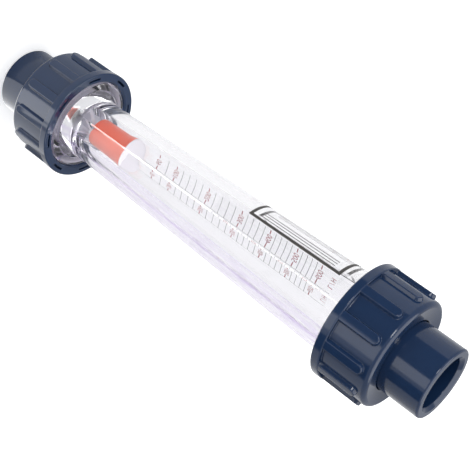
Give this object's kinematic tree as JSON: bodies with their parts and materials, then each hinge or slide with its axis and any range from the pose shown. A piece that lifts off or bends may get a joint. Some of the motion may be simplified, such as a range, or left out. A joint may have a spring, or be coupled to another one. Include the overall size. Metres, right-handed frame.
{
  "type": "rotameter",
  "caption": "Clear tapered-tube flow meter with a sliding float, a red scale and a ribbed union nut with a pipe socket at each end.",
  "frame": {"origin": "centre of the inlet socket's end face", "axes": "+Z along the flow from inlet to outlet, -Y towards the scale, +Y towards the tube's flat"},
  "size_m": [0.046, 0.046, 0.214],
  "materials": {
    "clear_tube": "polished clear styrene",
    "blue_fitting": "moulded satin gloss",
    "seal_rubber": "matt",
    "stop_plastic": "matt",
    "float_orange": "satin",
    "float_metal": "turned",
    "plug_white": "matt"
  },
  "bodies": {
    "meter": {"measuring_tube": "clear_tube", "inlet_socket": "blue_fitting", "outlet_socket": "blue_fitting", "inlet_seal": "seal_rubber", "outlet_seal": "seal_rubber", "inlet_stop": "stop_plastic", "outlet_stop": "stop_plastic"},
    "float": {"float_shell": "float_orange", "float_weight": "float_metal", "float_plug": "plug_white"},
    "inlet_union": {"inlet_nut": "blue_fitting"},
    "outlet_union": {"outlet_nut": "blue_fitting"}
  },
  "joints": [
    {"name": "float_slide", "type": "slide", "parent": "meter", "child": "float", "axis": [0, 0, 1], "range_m": [0, 0.1036]},
    {"name": "inlet_nut_turn", "type": "hinge", "parent": "meter", "child": "inlet_union", "pos_m": [0, 0, 0.0273], "axis": [0, 0, -1], "range_deg": [0, 1080]},
    {"name": "outlet_nut_turn", "type": "hinge", "parent": "meter", "child": "outlet_union", "pos_m": [0, 0, 0.1867], "axis": [0, 0, 1], "range_deg": [0, 1080]}
  ]
}
